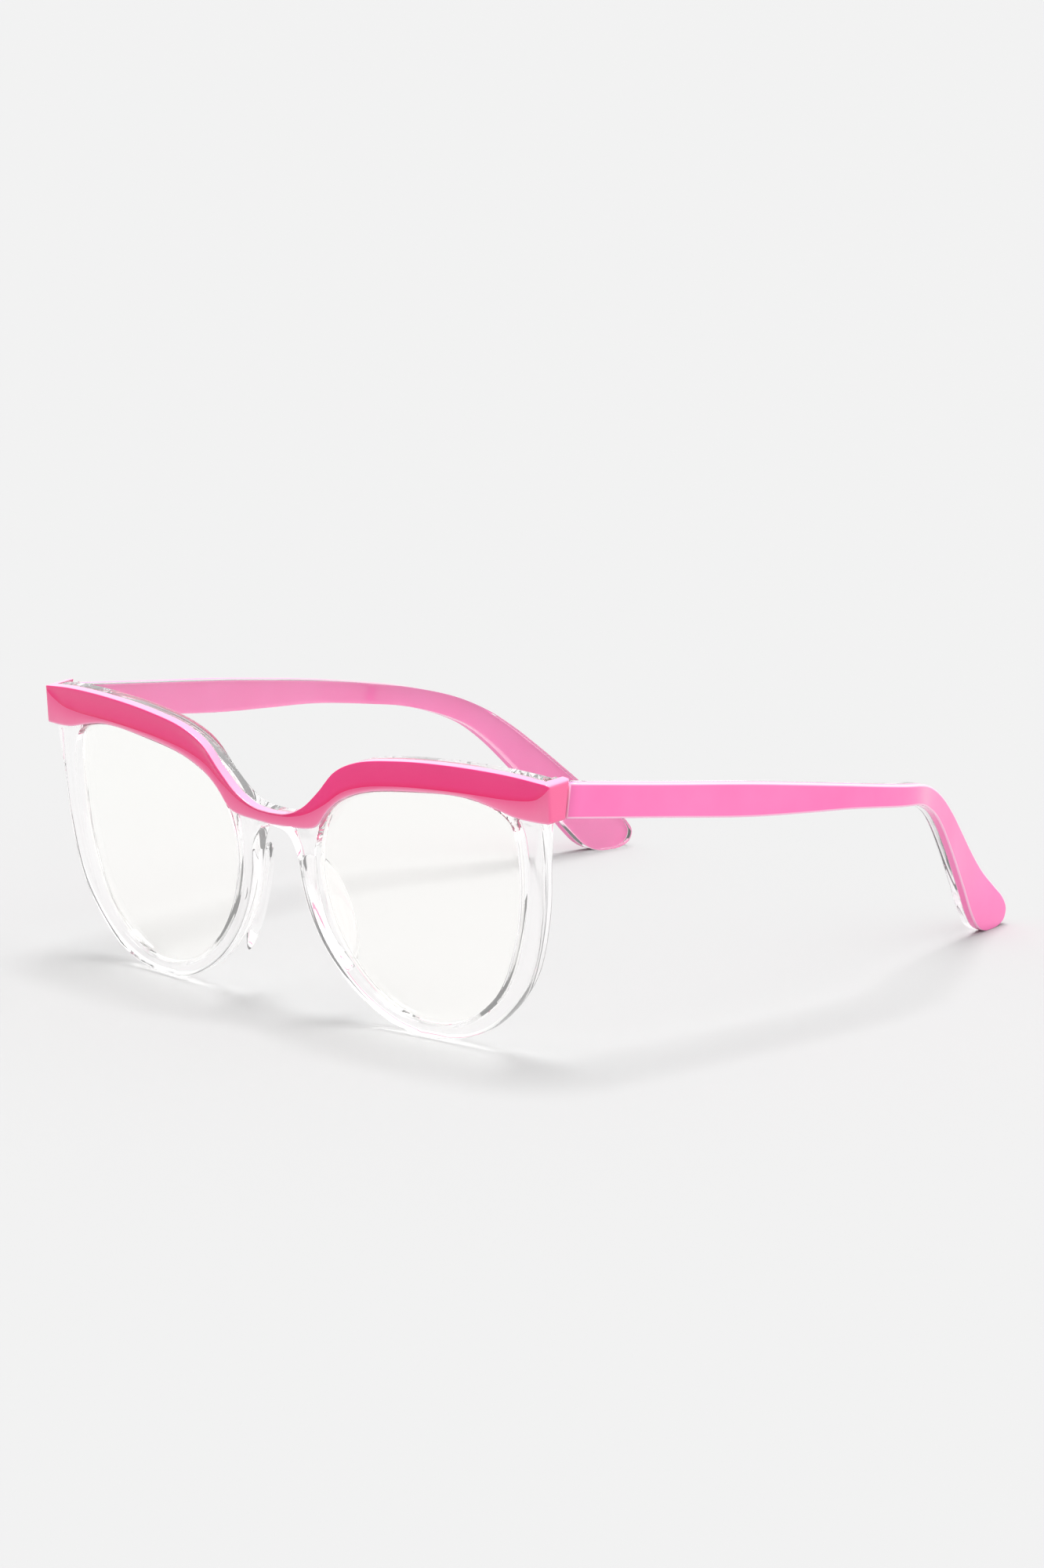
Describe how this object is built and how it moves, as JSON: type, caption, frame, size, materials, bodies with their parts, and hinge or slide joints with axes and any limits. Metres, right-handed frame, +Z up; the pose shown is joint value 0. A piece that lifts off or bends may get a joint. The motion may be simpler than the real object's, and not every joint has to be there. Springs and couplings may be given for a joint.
{
  "type": "blue light glasses",
  "caption": "Cat-eye acetate glasses: a scooped pink brow bar laminated on a clear front, pale plano lenses, clear nose pads and pink-over-clear temples that fold on barrel hinges.",
  "frame": {"origin": "middle of the footprint, on the surface that the rims and the temple tips stand on", "axes": "+X to the wearer's left, -Y the way the wearer looks, +Z up"},
  "size_m": [0.1532, 0.1554, 0.055],
  "materials": {
    "pink_acetate": "polished candy pink",
    "clear_acetate": "polished crystal clear",
    "lens": "clear with a faint warm tint",
    "nose_pad": "polished crystal clear",
    "nickel_silver": "fine brushed",
    "screw_steel": "polished"
  },
  "bodies": {
    "front": {"crystal_front": "clear_acetate", "brow_bar": "pink_acetate", "lens_left": "lens", "lens_right": "lens", "nose_pad_left": "nose_pad", "nose_pad_right": "nose_pad", "front_hinge_left": "nickel_silver", "front_hinge_right": "nickel_silver", "hinge_screw_left": "screw_steel", "hinge_screw_right": "screw_steel", "front_leaf_screw_left_near": "screw_steel", "front_leaf_screw_left_far": "screw_steel", "front_leaf_screw_right_near": "screw_steel", "front_leaf_screw_right_far": "screw_steel"},
    "temple_left": {"temple_outer_left": "pink_acetate", "temple_inner_left": "clear_acetate", "temple_hinge_left": "nickel_silver", "temple_leaf_screw_left_near": "screw_steel", "temple_leaf_screw_left_far": "screw_steel"},
    "temple_right": {"temple_outer_right": "pink_acetate", "temple_inner_right": "clear_acetate", "temple_hinge_right": "nickel_silver", "temple_leaf_screw_right_near": "screw_steel", "temple_leaf_screw_right_far": "screw_steel"}
  },
  "joints": [
    {"name": "fold_left", "type": "hinge", "parent": "front", "child": "temple_left", "pos_m": [0.0639, -0.06629, 0.04993], "axis": [0, 0, 1], "range_deg": [0, 73]},
    {"name": "fold_right", "type": "hinge", "parent": "front", "child": "temple_right", "pos_m": [-0.0639, -0.06629, 0.04993], "axis": [0, 0, -1], "range_deg": [0, 85]}
  ]
}
